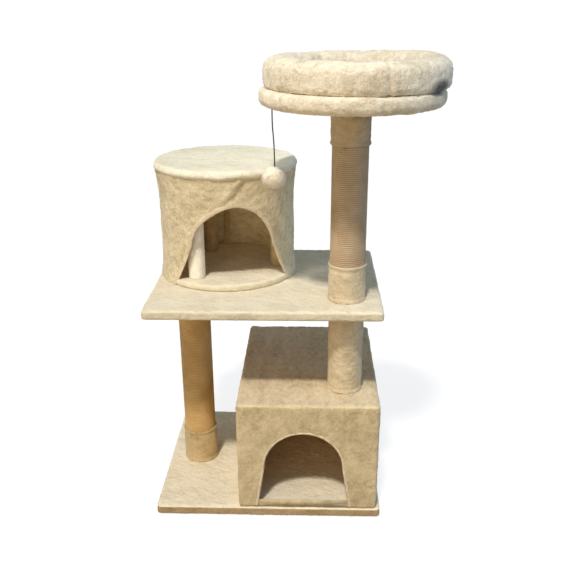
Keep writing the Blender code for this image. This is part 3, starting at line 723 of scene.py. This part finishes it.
def pompom():
    """Fleece ball: a lumpy core under a few thousand tapering tufts."""
    low, high = box("toy_pompom")
    centre, half = (low + high) / 2, (high - low) / 2
    rng = np.random.default_rng(11)
    up = 1 - 2 * (np.arange(TUFTS) + 0.5) / TUFTS
    turn = np.arange(TUFTS) * pi * (3 - 5 ** 0.5)
    flat = np.sqrt(1 - up ** 2)
    out = np.stack([flat * np.cos(turn), flat * np.sin(turn), up], axis=-1)
    points, faces = [], []
    for way in out:
        lean = way + rng.normal(0, 0.28, 3)
        lean /= np.linalg.norm(lean)
        side = np.cross(lean, rng.normal(0, 1, 3))
        side /= np.linalg.norm(side)
        other = np.cross(lean, side)
        root = way * 0.86
        wide = 0.040 + 0.02 * rng.random()
        tip = root + lean * (0.15 + 0.08 * rng.random())
        start = len(points)
        for i in range(3):
            points.append(root + wide * (side * cos(tau * i / 3) + other * sin(tau * i / 3)))
        points.append(tip)
        faces += [(start + i, start + (i + 1) % 3, start + 3) for i in range(3)]
    bm = bmesh.new()
    bmesh.ops.create_icosphere(bm, subdivisions=5, radius=0.90)
    start = len(points)
    points += [np.array(v.co) for v in bm.verts]
    faces += [tuple(start + v.index for v in face.verts) for face in bm.faces]
    bm.free()
    scaled = np.array(points) * np.array(half) + np.array(centre)
    obj = mesh_object("pompom", scaled, faces, FLUFF)
    relief(obj, 0.006, 0.003)
    return finish_piece(obj, "pompom", "toy_pompom", body="toy")


def toy():
    """The elastic cord with the pompom on its end."""
    pivot = middle("toy_loop")
    data = bpy.data.curves.new("toy_string", "CURVE")
    data.dimensions = "3D"
    data.bevel_depth = CORD_RADIUS
    data.bevel_resolution = 3
    data.use_fill_caps = True
    spline = data.splines.new("POLY")
    spline.points.add(len(CORD_ROUTE) - 1)
    for point, (x, z) in zip(spline.points, CORD_ROUTE):
        point.co = (pivot.x + x - ROUTE_TOP[0], pivot.y, z, 1)
    data.materials.append(BRAID)
    obj = linked("toy_string", data)
    finish_piece(obj, "black_cord", "toy_cord", body="toy")
    ball = pompom()


# ---------------------------------------------------------------- base and platform

def covered_board(node, name, rounding, edge):
    """Plush wrapped over a board and turned under it: a rounded skin with an open window below."""
    low, high = box(node)
    size = high - low
    points, faces = box_grids(size, rounding, STEP, ALL_SIDES)
    window = np.array([size.x / 2 - HEM, size.y / 2 - HEM])
    kept = []
    for face in faces:
        spot = points[list(face)].mean(axis=0)
        if spot[2] < -size.z / 2 + 0.001 and (np.abs(spot[:2]) < window).all():
            continue
        kept.append(face)
    points = points + np.array((low + high) / 2)
    obj = mesh_object(name, points, kept, LEVEL, close=MERGE)
    two_tone(obj, edge)
    nap(obj, flat_below=low.z + PILE_STARTS)
    thicken(obj)
    finish_piece(obj, "plush_cover", node)


# ---------------------------------------------------------------- posts

def rope_wrap(node, name, material):
    """Sisal cord wound tightly round the tube, one closed helical rope."""
    centre, radius, low, high = disc(node)
    middle_radius = radius - ROPE / 2
    per_turn = 64
    turns = (high - low - ROPE) / ROPE
    count = int(turns * per_turn)
    t = np.arange(count + 1) / per_turn
    angle = t * tau
    z = low + ROPE / 2 + t * ROPE
    rng = np.random.default_rng(len(name))
    wobble = np.interp(t, np.arange(0, int(turns) + 2), rng.normal(0, 0.00012, int(turns) + 2))
    path = round_points(centre, middle_radius + wobble, angle, z)
    up = np.tile((0.0, 0.0, 1.0), (len(t), 1))
    section = oval(ROPE / 2 * 1.02, ROPE / 2 * 0.98, 8, 2.0)
    obj = swept(name, path, up, outward(angle), section, material)
    rope_uv(obj, t * tau * middle_radius / ROPE, len(section))
    return finish_piece(obj, "sisal", node)


def rope_uv(obj, along, sides):
    """u counts cord diameters along the cord, and v counts turns round it."""
    layer = obj.data.uv_layers.new(name="cord")
    last = len(along) * sides
    for loop in obj.data.loops:
        i = min(loop.vertex_index, last - 1)
        layer.data[loop.index].uv = (along[i // sides], (i % sides) / sides * 3)


def plush_tube(node, name, thick, seam, puff=0.0012, lean=0.0, seed=1, material=WRAP):
    """A plush tube sewn up one side, with folded rims and a few slack ripples."""
    centre, radius, low, high = disc(node)
    inner = radius - thick
    edge = min(thick, 0.004) / 2
    profile = arc((radius - edge, low + edge), edge, -pi / 2, 0, 3)
    profile += arc((radius - edge, high - edge), edge, 0, pi / 2, 3)
    profile = list(resample(profile, 0.0025))
    profile += [(inner, high), (inner, low)]
    ripple = waves(seed, 7, 6, 60)

    def warp(angle, r, z):
        outside = r > inner + 0.0002
        height = (z - low) / (high - low)
        d = turn_from(angle, seam)
        move = puff * ripple(angle, z) * np.sin(pi * np.clip(height, 0.04, 0.96))
        move += 0.0016 * bump_at(d, 0.0, 0.07) - 0.0016 * bump_at(d, 0.10, 0.035)
        for rim, way in ((high, -1), (low, 1)):
            move += 0.0010 * bump_at(z, rim + way * 0.003, 0.0035)
            move -= 0.0008 * bump_at(z, rim + way * 0.010, 0.003)
        move += lean * (1 - height) ** 3
        return np.where(outside, r + move, r), z

    obj = lathe(name, profile, centre, 140, material, ring=True, warp=warp)
    relief(obj, 0.010, 0.0014)
    relief(obj, 0.005, 0.0016)
    return finish_piece(obj, "plush_wrap", node)


# ---------------------------------------------------------------- box condo

def condo_skin():
    """Plush over the box, drawn tight over its edges, with the door cut out of the front."""
    low, high = box("condo_cover")
    size, centre = high - low, (low + high) / 2
    sides = [side for side in ALL_SIDES if side != (2, -1)]
    points, faces = box_grids(size, (0.0070, 0.0070, 0.0065), 0.0042, sides)
    points = points + np.array(centre)
    door_x = centre.x + CONDO_DOOR_OFFSET
    front = points[:, 1] < low.y + 0.002
    kept, moved = open_door(faces, points[:, 0] - door_x, points[:, 2], CONDO_DOOR, front)
    for i, (across, z) in moved.items():
        points[i] = (door_x + across, points[i][1], z)
    obj = mesh_object("condo_plush", points, kept, LEVEL, close=MERGE)
    two_tone(obj, FRONT)
    obj.data.materials[0] = LID
    nap(obj, 1.1)
    thicken(obj)
    finish_piece(obj, "plush_cover", "condo_cover")
    condo_hem()


def door_hem(name, path, normal, section):
    """A plush edge that runs along a door's outline."""
    obj = swept(name, path, -sides_along(path, normal), normal, section, HEMS)
    subdivide(obj)
    relief(obj, 0.008, 0.0010)
    return finish_piece(obj, "plush_cover")


def condo_hem():
    """The skin's edge, rolled round the front panel's opening."""
    low, high = box("condo_cover")
    door_x = (low.x + high.x) / 2 + CONDO_DOOR_OFFSET
    outline = door_outline(CONDO_DOOR, low.z + 0.001, 60)
    path = np.stack([door_x + outline[:, 0], np.full(len(outline), low.y + 0.001), outline[:, 1]], axis=-1)
    normal = np.tile((0.0, -1.0, 0.0), (len(path), 1))
    # The section runs from the front of the skin, over the edge, to the back of the panel.
    section = np.array([
        (-0.0056, -0.0008), (-0.0050, 0.0014), (-0.0034, 0.0025), (-0.0012, 0.0024), (0.0004, 0.0010),
        (0.0011, -0.0010), (0.0013, -0.0060), (0.0013, -0.0140), (0.0006, -0.0172), (-0.0030, -0.0176),
        (-0.0075, -0.0172), (-0.0080, -0.0160), (-0.0030, -0.0160), (-0.0022, -0.0100), (-0.0022, -0.0022),
    ])
    return door_hem("condo_door_hem", path, normal, section)


def floor_mat():
    low, high = box("condo_floor_mat")
    points, faces = box_grids(high - low, (0.006, 0.006, 0.003), 0.004, ALL_SIDES)
    obj = mesh_object("condo_mat", points + np.array((low + high) / 2), faces, LEVEL, close=MERGE)
    nap(obj)
    finish_piece(obj, "plush_cover", "condo_floor_mat")


# ---------------------------------------------------------------- drum condo

def drum_floor():
    centre, radius, low, high = disc("drum_floor_cover")
    edge = 0.0045
    profile = resample([(0.0, high), (radius - edge, high)], STEP).tolist()
    profile += arc((radius - edge, high - edge), edge, pi / 2, 0, 4)[1:]
    profile += arc((radius - edge, low + edge), edge, 0, -pi / 2, 4)
    profile += resample([(radius - edge, low), (radius - HEM, low)], STEP).tolist()[1:]
    obj = lathe("drum_floor_plush", profile, centre, 240, LEVEL)
    nap(obj, flat_below=low + PILE_STARTS)
    thicken(obj, 0.0010)
    finish_piece(obj, "plush_cover", "drum_floor_cover")


def crown_lean(z):
    """How far the sagging crown of the drum's door has slipped to the right."""
    return 0.007 * np.clip((z - 0.615) / 0.050, 0, 1) ** 2


def wall_radius(angle, z):
    """Outer radius of the drum's fabric: held by the floor and roof, drawn in between them."""
    _, _, low, high = disc("drum_wall")
    foot, waist, head = 0.1553, 0.1497, 0.1560
    share = np.clip((z - low) / (high - low), 0, 1)
    r = waist + (foot - waist) * np.clip(1 - share / 0.30, 0, 1) ** 2
    r = r + (head - waist) * np.clip((share - 0.62) / 0.38, 0, 1) ** 2
    ripple = waves(5, 9, 9, 26)
    loose = np.sin(pi * np.clip(share, 0.02, 0.98))
    r = r + 0.0011 * ripple(angle, z) * loose
    # One slack fold runs down and left from the roof seam to the crown of the door.
    fold_angle = radians(16.5) + radians(-13.5) * (0.735 - z) / 0.045
    d = turn_from(angle, fold_angle)
    fold = np.clip((z - 0.680) / 0.018, 0, 1) * np.clip((0.741 - z) / 0.010, 0, 1)
    r = r + fold * (0.0020 * bump_at(d, 0.0, 0.065) - 0.0024 * bump_at(d, 0.110, 0.055))
    # Gathers under the roof seam.
    gathers = waves(8, 8, 46, 10)
    r = r + 0.0007 * gathers(angle, z) * bump_at(z, high - 0.004, 0.016)
    return r


def drum_wall():
    """One strip of plush round the drum with a mouse-hole door, open at the bottom of its legs."""
    centre, _, low, high = disc("drum_wall")
    cols, rows = 300, 80
    angles = np.arange(cols) * tau / cols + DRUM_DOOR_ANGLE - pi
    levels = np.linspace(low, high, rows)
    angle, z = (a.reshape(-1) for a in np.meshgrid(angles, levels))
    across = DRUM_DOOR_RADIUS * np.sin(angle - DRUM_DOOR_ANGLE) - crown_lean(z)
    front = np.cos(angle - DRUM_DOOR_ANGLE) > 0
    faces = grid_faces(rows, cols, wrap_cols=True)
    kept, moved = open_door(faces, across, z, DRUM_DOOR, front)
    for i, (side, height) in moved.items():
        z[i] = height
        angle[i] = DRUM_DOOR_ANGLE + np.arcsin((side + crown_lean(height)) / DRUM_DOOR_RADIUS)
    r = wall_radius(angle, z)
    obj = mesh_object("drum_fabric", round_points(centre, r, angle, z), kept, DRUM)
    nap(obj, 1.1)
    thicken(obj)
    finish_piece(obj, "plush_cover", "drum_wall")
    sewn = [drum_hem(centre, low), drum_seam()]
    girth, height = tau * DRUM_MEAN_RADIUS, high - low


def drum_hem(centre, low):
    """Rolled hem round the drum's door."""
    outline = door_outline(DRUM_DOOR, low + 0.002, 60)
    z = outline[:, 1]
    angle = DRUM_DOOR_ANGLE + np.arcsin((outline[:, 0] + crown_lean(z)) / DRUM_DOOR_RADIUS)
    r = wall_radius(angle, z) + 0.0002
    section = oval(0.0052, 0.0018, 14) + np.array([-0.0049, -0.0009])
    return door_hem("drum_door_hem", round_points(centre, r, angle, z), outward(angle), section)


def drum_seam():
    """Where the ends of the wall's strip are sewn together: a flap of cloth up the inside at the back."""
    centre, _, low, high = disc("drum_wall")
    z = np.linspace(low + 0.004, high - 0.004, 50)
    angle = radians(189) + radians(-5) * (z - low) / (high - low)
    r = wall_radius(angle, z) - 0.0052
    path, normal = round_points(centre, r, angle, z), outward(angle)
    # Its darker plush is painted shade.
    obj = swept("drum_back_seam", path, sides_along(path, normal), normal, oval(0.0075, 0.0040, 14), SHADED_WRAP)
    relief(obj, 0.010, 0.0016)
    return finish_piece(obj, "plush_cover")


def roof_pad():
    """Thin pad on the drum's lid: domed, with a welt round its rim over the wall's seam."""
    centre, radius, low, high = disc("drum_roof_pad")
    hang, puff = 0.0058, 0.0125
    reach = radius + 0.0010
    rim_middle = (high - 0.0010 + low - hang) / 2
    rim_half = (high - 0.0010 - low + hang) / 2
    profile = resample([(0.0, high - 0.0005), (reach - puff, high - 0.0010)], 0.004).tolist()
    profile += arc((reach - puff, rim_middle), (puff, rim_half), pi / 2, -pi / 2, 16)[1:]
    profile += [(reach - puff - 0.004, low), (0.0, low)]
    puckers = waves(31, 8, 40, 0.5)
    slack = waves(32, 6, 5, 10)

    def warp(angle, r, z):
        rim = np.clip((r - reach + puff) / puff, 0, 1)
        droop = rim * np.clip((high - z) / 0.012, 0, 1)
        return r + 0.0006 * puckers(angle, z) * rim, z + 0.0012 * slack(angle, z) * droop

    obj = lathe("drum_roof_plush", resample(profile, 0.004), centre, 240, ROOF, warp=warp)
    nap(obj)
    finish_piece(obj, "plush_cover", "drum_roof_pad")


def struts():
    for side in ("left", "right", "back"):
        node = f"drum_{side}_strut"
        seam = {"left": pi * 0.8, "right": pi, "back": pi * 0.9}[side]
        centre, radius, low, high = disc(node)
        profile = resample([(0.0, high), (radius, high), (radius, low), (0.0, low)], 0.004)
        ripple = waves(len(side), 6, 4, 50)

        def warp(angle, r, z):
            d = turn_from(angle, seam)
            skin = r > radius * 0.99
            return np.where(skin, r + 0.0005 * ripple(angle, z) - 0.0012 * bump_at(d, 0, 0.10), r), z

        # The left strut's lighter plush is painted light; the right and back struts' darker plush is
        # painted shade.
        material = LIT_STRUT if side == "left" else SHADED_WRAP
        obj = lathe(f"drum_{side}_post", profile, centre, 72, material, warp=warp)
        relief(obj, 0.009, 0.0010)
        finish_piece(obj, "plush_wrap", node)


# ---------------------------------------------------------------- perch bed

BED_SEAM = radians(16)
BOLSTER_HALF_WIDTH = 0.0315
CUSHION_SHOULDER = 0.9225
CUSHION_CROWN_RADIUS = 0.118


def perch_roll():
    """Plush tray under the bed: smooth underside, stuffed roll round the edge, sewn joint in front."""
    centre, radius, low, high = disc("perch_cover")
    half, depth = (high - low) / 2, 0.019
    # The cloth runs from its lip round the board's top, out, round and under, to the hole for the bolt.
    hole, seat = 0.012, 0.1298
    profile = resample([(seat, high - 0.012), (seat, high)], STEP).tolist()
    profile += resample([(seat, high), (radius - depth, high)], STEP).tolist()[1:]
    for turn in np.linspace(pi / 2, -pi / 2, 25)[1:]:
        power = 3.4 if turn > 0 else 2.2
        across = abs(cos(turn)) ** (2 / power)
        up = abs(sin(turn)) ** (2 / power) * (1 if turn > 0 else -1)
        profile.append((radius - depth + depth * across, low + half + half * up))
    profile += resample([(radius - depth, low), (hole, low)], STEP).tolist()[1:]
    profile += [(hole, low + SKIN)]
    ripple = waves(21, 9, 11, 30)
    puckers = waves(22, 7, 60, 0.5)

    def warp(angle, r, z):
        d = turn_from(angle, BED_SEAM)
        out = np.clip((r - (radius - depth)) / depth, 0, 1)
        top = np.clip((z - low - half) / half, 0, 1)
        move = out * (0.0016 * ripple(angle, z) - 0.0030 * bump_at(d, 0, 0.020))
        move += 0.0012 * puckers(angle, z) * out * top
        return r + move, z + 0.0006 * puckers(angle, z) * out

    obj = lathe("perch_tray", profile, centre, 280, BED, warp=warp)
    nap(obj)
    finish_piece(obj, "plush_cover", "perch_cover")


def bolster_section(half_wide, half_high, count):
    """Round above and inside; squarer below on the outside, where the cloth is sewn down to the roll."""
    turns = np.arange(count) * tau / count
    across, up = np.cos(turns), np.sin(turns)
    power = np.where((across > 0) & (up < 0), 5.0, 2.4)
    return np.stack([
        half_wide * np.sign(across) * np.abs(across) ** (2 / power),
        half_high * np.sign(up) * np.abs(up) ** (2 / power),
    ], axis=-1)


def bolster():
    """Stuffed ring round the bed, sewn shut at one seam and gathered along its inner side."""
    centre, radius, low, high = disc("perch_bolster")
    half_high, half_wide = (high - low) / 2, BOLSTER_HALF_WIDTH
    ring_radius = radius - half_wide
    # The mesh starts this much smaller all round, and Cloth blows it up to its size.
    shrink = 0.0045
    around, through = 220, 40
    section = bolster_section(half_wide - shrink, half_high - shrink, through)
    angles = np.arange(around) * tau / around
    rng = np.random.default_rng(3)
    tacks = np.sort((np.arange(17) + rng.uniform(-0.28, 0.28, 17)) * tau / 17)
    pull = np.zeros(around)
    for tack in tacks:
        pull += bump_at(turn_from(angles, tack), 0, 0.035) * rng.uniform(0.45, 1.0)
    from_seam = turn_from(angles, BED_SEAM)
    seam = bump_at(from_seam, 0, 0.016)
    ridge = bump_at(np.abs(from_seam), 0.060, 0.030)
    scallop = waves(14, 6, 9, 1)
    # The filling is heaped up at the back on the right.
    heap = 0.0050 * bump_at(turn_from(angles, radians(112)), 0, 0.40)
    points = []
    for a, p, s, e, more in zip(angles, pull, seam, ridge, heap):
        across = section[:, 0] * (1 - 0.15 * s + 0.03 * e)
        up = section[:, 1] * (1 - 0.12 * s + 0.03 * e)
        top = np.clip(section[:, 1] / half_high, 0, 1)
        inner = np.clip(-section[:, 0] / half_wide, 0, 1) * np.clip(section[:, 1] / half_high + 0.4, 0, 1)
        lobe = 0.0030 * abs(sin(a)) ** 6 * np.clip(section[:, 0] / half_wide, 0, 1)
        r = ring_radius + across + 0.0042 * p * inner + lobe
        sag = 0.0065 * np.clip(-section[:, 1] / half_high, 0, 1)
        z = (low + high) / 2 + up - 0.0055 * p * inner + (0.0016 * scallop(a, 0.0) + more) * top - sag
        points.append(np.stack([centre[0] + r * sin(a), centre[1] - r * cos(a), z], axis=-1))
    faces = grid_faces(around, through, wrap_rows=True, wrap_cols=True)
    obj = mesh_object("bed_bolster", np.concatenate(points), faces, BED)
    numbers = np.arange(around * through).reshape(around, through)
    sewn = set(numbers[seam > 0.6].reshape(-1).tolist())
    bottom = section[:, 1] < -0.80 * (half_high - shrink)
    sewn |= set(numbers[:, bottom].reshape(-1).tolist())
    inside = (section[:, 0] < -0.4 * half_wide) & (section[:, 1] > 0)
    sewn |= set(numbers[np.ix_(pull > 0.55, inside)].reshape(-1).tolist())
    inflate(obj, 4.0, 0.0075, pinned=sorted(sewn))
    subdivide(obj)
    nap(obj, 1.2)
    finish_piece(obj, "plush_cover", "perch_bolster")


def bed_cushion():
    """Crowned seat pad; its rim tucks under the bolster."""
    centre, radius, low, high = disc("perch_cushion")
    crown = high - 0.002
    shoulder = CUSHION_SHOULDER
    profile = [(0.0, crown)]
    for r in np.linspace(0.004, CUSHION_CROWN_RADIUS, 30):
        share = r / CUSHION_CROWN_RADIUS
        profile.append((r, shoulder + (crown - shoulder) * (1 - share ** 2.4)))
    profile += arc((radius - 0.0065, shoulder - 0.0075), (0.005, 0.0070), pi / 2, -pi / 2, 8)
    profile += resample([(radius - 0.010, low + 0.0005), (0.0, low + 0.0005)], 0.005).tolist()
    obj = lathe("bed_cushion", profile, centre, 160, BED)
    count = len(obj.data.vertices)
    heights = np.array([v.co.z for v in obj.data.vertices])
    inflate(obj, 1.2, 0.004, pinned=np.arange(count)[heights < shoulder].tolist())
    nap(obj, 1.2)
    finish_piece(obj, "plush_cover", "perch_cushion")


# ---------------------------------------------------------------- studio

def staged(name, bm, material, *hidden_from):
    """A piece of the studio from a bmesh, hidden from some kinds of ray."""
    mesh = bpy.data.meshes.new(name)
    bm.to_mesh(mesh)
    bm.free()
    mesh.materials.append(material)
    obj = linked(name, mesh)
    for kind in hidden_from:
        setattr(obj, f"visible_{kind}", False)
    return obj


def plane(name, size, z, material, *hidden_from):
    bm = bmesh.new()
    bmesh.ops.create_grid(bm, x_segments=1, y_segments=1, size=size)
    staged(name, bm, material, *hidden_from).location.z = z


def lamp(name, kind, at, towards, energy, colour, **settings):
    data = bpy.data.lights.new(name, kind)
    data.energy = energy
    data.color = colour
    for key, value in settings.items():
        setattr(data, key, value)
    obj = linked(name, data)
    obj.location = at
    obj.rotation_euler = (Vector(towards) - Vector(at)).to_track_quat("-Z", "Y").to_euler()


def ground():
    """A pale floor for the camera, and a warm dim one that only throws light back up."""
    pale = Shader("floor_pale", Specular_IOR_Level=0.0, Roughness=1.0, Base_Color=(0.22, 0.22, 0.22, 1),
                  Emission_Color=(1, 1, 1, 1), Emission_Strength=0.82)
    plane("floor", 30, -0.0005, pale.material, "diffuse", "shadow")
    warm = Shader("floor_bounce", Specular_IOR_Level=0.0, Roughness=1.0, Base_Color=(0.25, 0.19, 0.12, 1))
    plane("bounce_floor", 6, -0.002, warm.material, "camera")


def sky():
    """A dim cool sky for the shadows, behind a white backdrop that only the camera sees."""
    world = bpy.data.worlds.new("sky")
    SCENE.world = world
    world.use_nodes = True
    preset(world.node_tree.nodes["Background"], Color=(0.75, 0.88, 1.0, 1), Strength=0.31)
    glow = Shader("backdrop_white", Base_Color=(0, 0, 0, 1), Emission_Color=(1, 1, 1, 1),
                  Emission_Strength=1.0)
    bm = bmesh.new()
    bmesh.ops.create_uvsphere(bm, u_segments=48, v_segments=24, radius=28)
    staged("backdrop", bm, glow.material, "diffuse", "glossy", "shadow", "transmission")


def studio():
    """Key from high on the front left, a white spot on the bed and drum, warm front and cool side fills."""
    ground()
    sky()
    lamp("key", "SUN", (0, 0, 0), (0.13, 0.56, -1.0), 2.5, (1.0, 0.97, 0.92), angle=radians(5))
    lamp("top", "SPOT", (-0.70, -0.90, 2.60), (0.03, -0.05, 0.95), 62, (0.85, 0.94, 1.0),
         spot_size=radians(30), spot_blend=1.0, shadow_soft_size=0.20)
    lamp("front", "AREA", (-0.50, -2.60, 0.70), (0.0, 0.0, 0.45), 19, (1.0, 0.80, 0.50),
         shape="RECTANGLE", size=2.0, size_y=1.4)
    lamp("left", "AREA", (-2.00, -0.90, 0.90), (0.0, 0.0, 0.60), 10, (1.0, 0.92, 0.80),
         shape="RECTANGLE", size=1.6, size_y=1.4)
    lamp("side", "AREA", (2.20, -0.60, 1.00), (0.0, 0.0, 0.50), 13, (0.22, 0.55, 1.0),
         shape="RECTANGLE", size=1.4, size_y=1.4)
    lamp("back", "SPOT", (1.25, 0.55, 0.80), (0.0, 0.08, 0.60), 11, (0.78, 0.92, 1.0),
         spot_size=radians(18), spot_blend=0.6, shadow_soft_size=0.10)
    # Two faint glows stand in for light thrown about inside the condos.
    lamp("drum_glow", "POINT", (-0.060, 0.075, 0.680), (-0.060, 0.075, 0), 0.055, (1.0, 0.86, 0.62),
         shadow_soft_size=0.03)
    lamp("condo_glow", "POINT", (0.090, -0.020, 0.170), (0.090, -0.020, 0), 0.024, (1.0, 0.66, 0.20),
         shadow_soft_size=0.03)
    SCENE.view_settings.view_transform = "Standard"


# ---------------------------------------------------------------- assembly


def build():
    camera()
    toy()
    covered_board("base_cover", "base_plush", (0.009, 0.009, 0.0050), EDGE)
    covered_board("platform_cover", "platform_plush", (0.008, 0.008, 0.0055), SIDES)
    rope_wrap("left_post_sisal", "left_rope", SISAL)
    rope_wrap("upper_post_sisal", "upper_rope", SHADED_SISAL)
    # The left collar's darker plush is painted shade.
    plush_tube("left_post_collar", "left_collar", 0.0020, radians(-31), puff=0.0010, lean=0.0012, seed=2,
               material=SHADED_WRAP)
    plush_tube("right_post_sleeve", "right_sleeve", 0.0040, radians(175), puff=0.0008, seed=3)
    plush_tube("upper_post_lower_collar", "lower_collar", 0.0020, radians(-120), puff=0.0007, seed=4)
    # The top collar's darker plush is the perch's shadow, painted.
    plush_tube("upper_post_upper_collar", "upper_collar", 0.0020, radians(150), puff=0.0008, seed=6,
               material=PERCH_SHADOW_WRAP)
    condo_skin()
    floor_mat()
    roof_pad()
    drum_floor()
    drum_wall()
    struts()
    perch_roll()
    bolster()
    bed_cushion()
    dress_cad()
    studio()


build()
